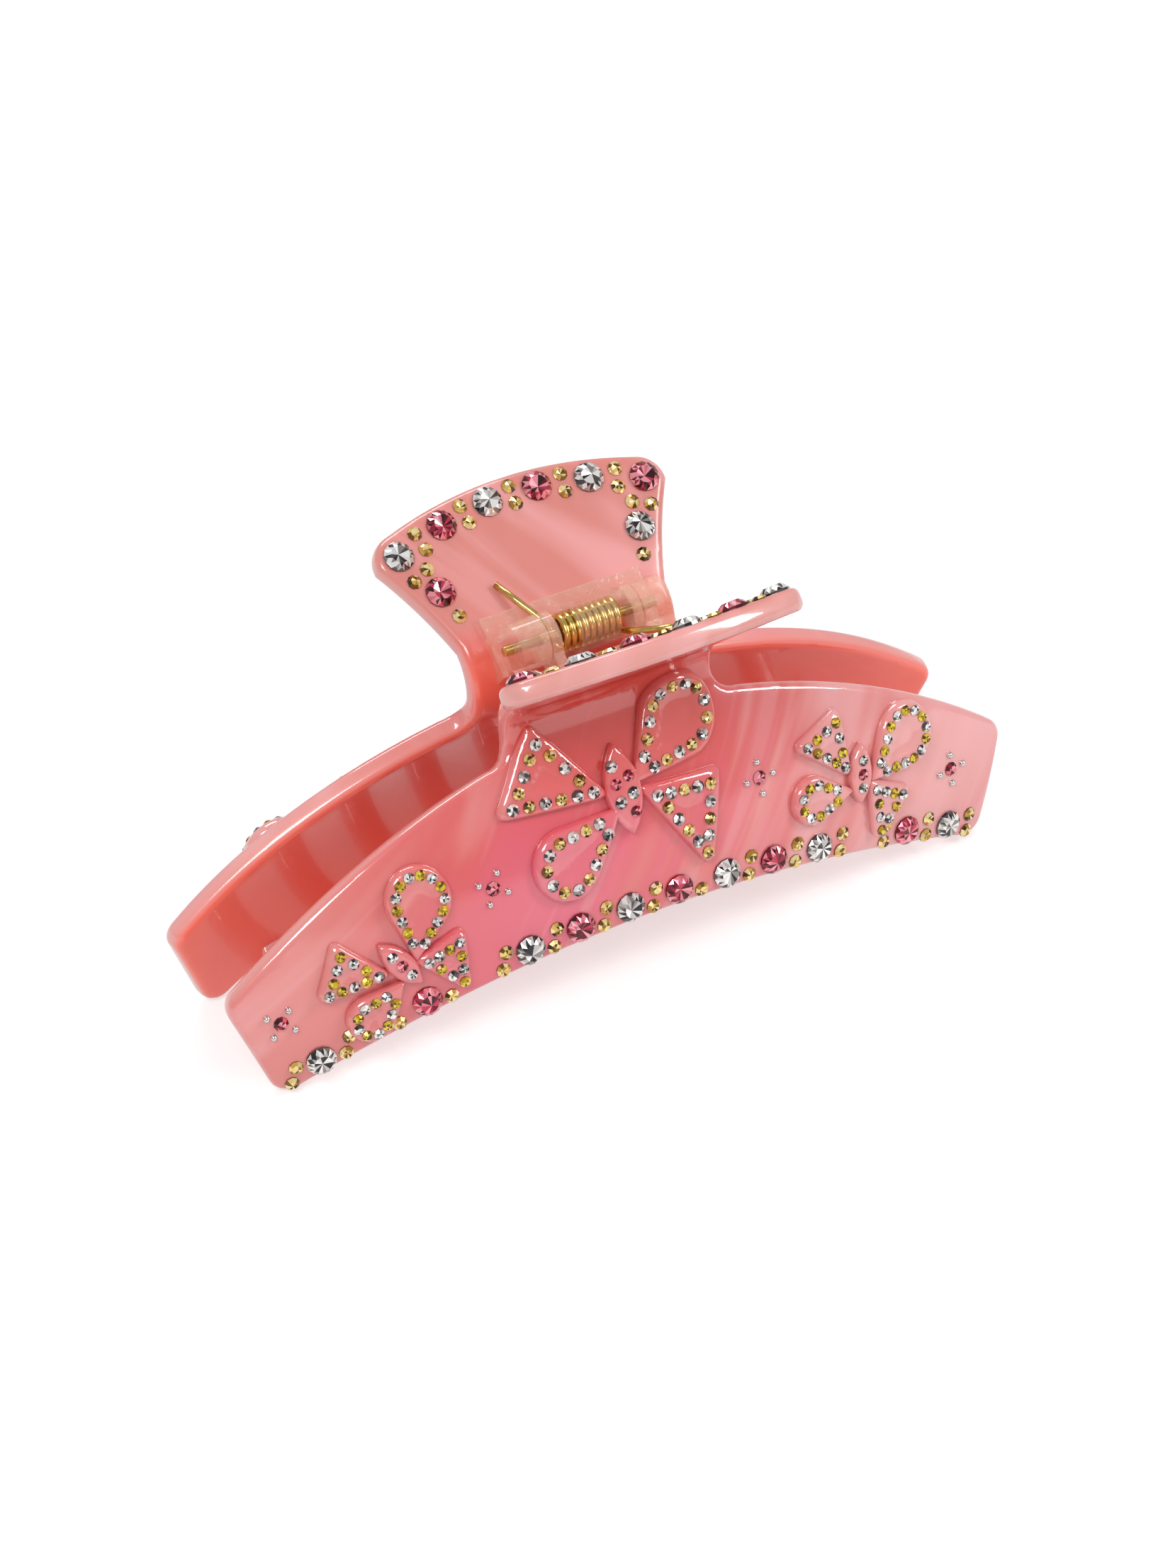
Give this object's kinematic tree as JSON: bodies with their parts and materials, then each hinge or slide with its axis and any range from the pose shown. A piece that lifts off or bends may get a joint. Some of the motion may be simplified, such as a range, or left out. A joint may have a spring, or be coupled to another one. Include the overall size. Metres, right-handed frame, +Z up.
{
  "type": "claw hair clip",
  "caption": "Claw hair clip: two curved acetate jaws with teeth, thumb handles, raised bows and set stones, on a sprung hinge pin.",
  "frame": {"origin": "centre of the closed clip's bounding box, on the surface that the jaws' lower corners stand on", "axes": "+X along the clip and the hinge pin, +Y from the front half to the back half, +Z up towards the handles"},
  "size_m": [0.1052, 0.042, 0.0521],
  "materials": {
    "acetate": "high gloss, pearl swirl",
    "clear_plastic": "clear gloss",
    "pin_brass": "polished",
    "spring_wire": "polished",
    "bow_resin": "clear gloss",
    "clear_crystal": "faceted, foil backed",
    "pink_crystal": "faceted, foil backed",
    "gold_crystal": "faceted, foil backed",
    "yellow_crystal": "faceted, foil backed",
    "silver_bead": "polished"
  },
  "bodies": {
    "back": {"back_half": "acetate", "back_hinge_block": "clear_plastic", "back_large_bow": "bow_resin", "back_left_bow": "bow_resin", "back_right_bow": "bow_resin", "back_row_clear_stones": "clear_crystal", "back_row_pink_stones": "pink_crystal", "back_row_gold_stones": "gold_crystal", "back_handle_clear_stones": "clear_crystal", "back_handle_pink_stones": "pink_crystal", "back_handle_gold_stones": "gold_crystal", "back_large_bow_clear_stones": "clear_crystal", "back_large_bow_gold_stones": "gold_crystal", "back_small_bow_clear_stones": "clear_crystal", "back_small_bow_yellow_stones": "yellow_crystal", "back_knot_pink_stones": "pink_crystal", "back_star_stones": "pink_crystal", "back_star_beads": "silver_bead", "spring_back_arm": "spring_wire", "hinge_pin": "pin_brass"},
    "front": {"front_half": "acetate", "front_hinge_block": "clear_plastic", "front_large_bow": "bow_resin", "front_left_bow": "bow_resin", "front_right_bow": "bow_resin", "front_row_clear_stones": "clear_crystal", "front_row_pink_stones": "pink_crystal", "front_row_gold_stones": "gold_crystal", "front_handle_clear_stones": "clear_crystal", "front_handle_pink_stones": "pink_crystal", "front_handle_gold_stones": "gold_crystal", "front_large_bow_clear_stones": "clear_crystal", "front_large_bow_gold_stones": "gold_crystal", "front_small_bow_clear_stones": "clear_crystal", "front_small_bow_yellow_stones": "yellow_crystal", "front_knot_pink_stones": "pink_crystal", "front_star_stones": "pink_crystal", "front_star_beads": "silver_bead", "spring_front_arm": "spring_wire"}
  },
  "joints": [
    {"name": "claw_hinge", "type": "hinge", "parent": "back", "child": "front", "pos_m": [0, 0, 0.04215], "axis": [-1, 0, 0], "range_deg": [0, 60], "stiffness_Nm_per_rad": 0.12, "springref_deg": -40.11}
  ]
}
